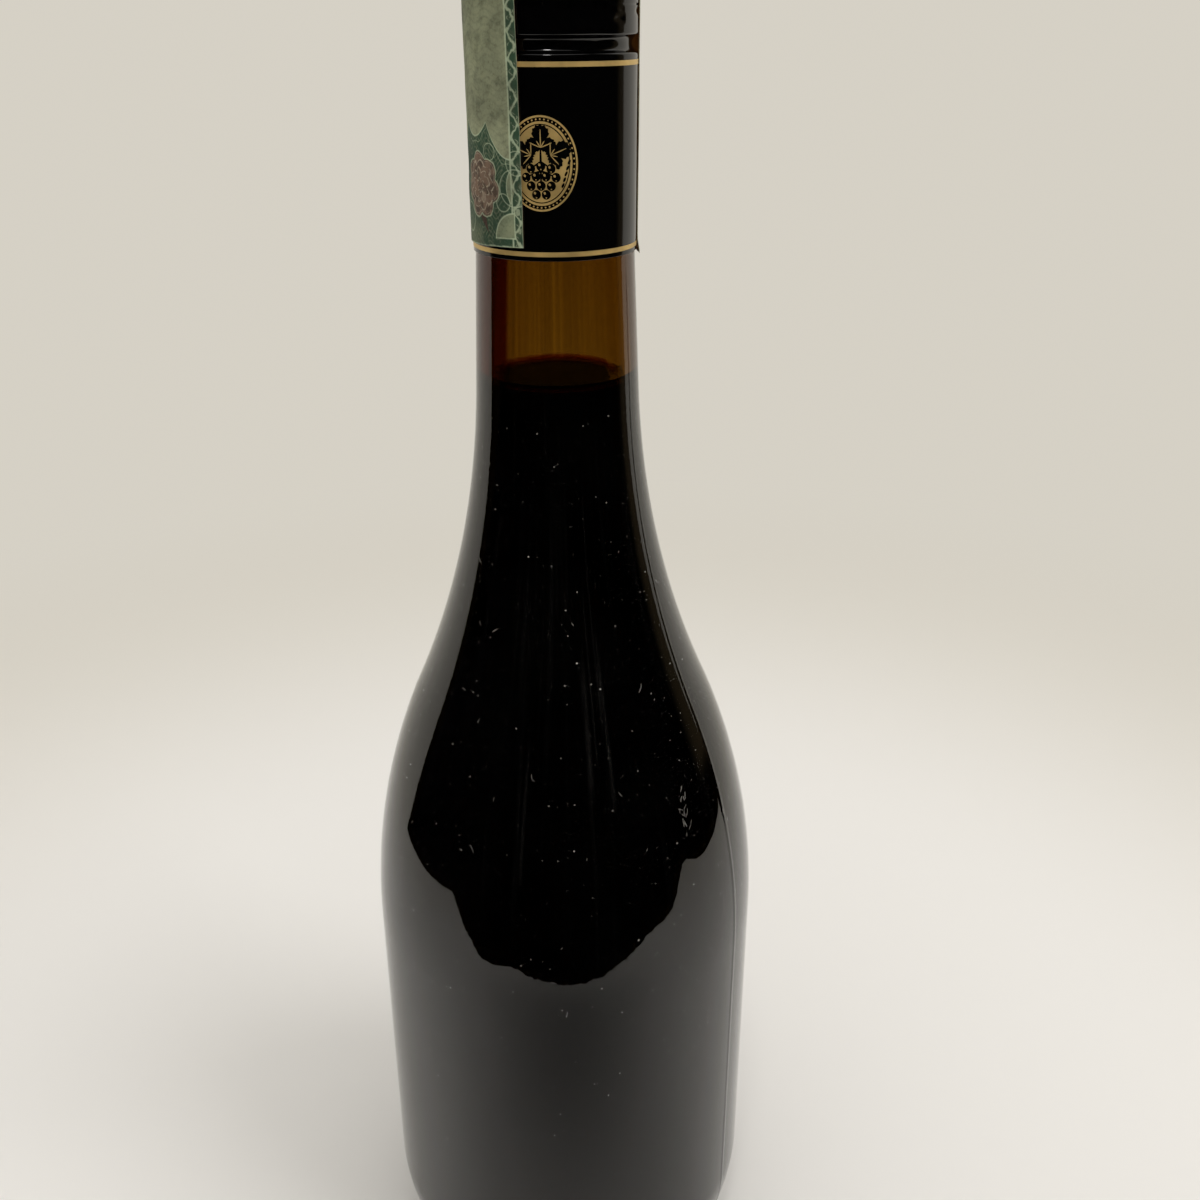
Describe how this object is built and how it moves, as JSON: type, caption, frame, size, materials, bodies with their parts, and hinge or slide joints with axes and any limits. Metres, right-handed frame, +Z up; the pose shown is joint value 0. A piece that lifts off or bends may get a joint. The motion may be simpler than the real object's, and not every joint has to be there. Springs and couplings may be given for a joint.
{
  "type": "bottle of blackcurrant liqueur",
  "caption": "Sealed sloping-shouldered glass bottle of dark blackcurrant liqueur, with a long screw cap and a paper duty strip over the top.",
  "frame": {"origin": "on the bottle's axis, at the plane of the ring that it stands on", "axes": "+Z up along the bottle's axis; -Y is the front, where the cap's gold ornament faces; +X is to the right seen from the front"},
  "size_m": [0.0854, 0.0854, 0.2994],
  "materials": {
    "amber_glass": "dark amber bottle glass, polished, with light dust",
    "liqueur": "very dark red-brown liquid, clear but almost black in depth",
    "cap_lacquer": "gloss black lacquer on aluminium with gold lines and a small gold ornament",
    "strip_paper": "thin uncoated paper with a fine green and brown printed pattern"
  },
  "bodies": {
    "root": {"glass_bottle": "amber_glass", "liqueur": "liqueur", "screw_cap": "cap_lacquer", "duty_strip": "strip_paper"}
  },
  "joints": []
}
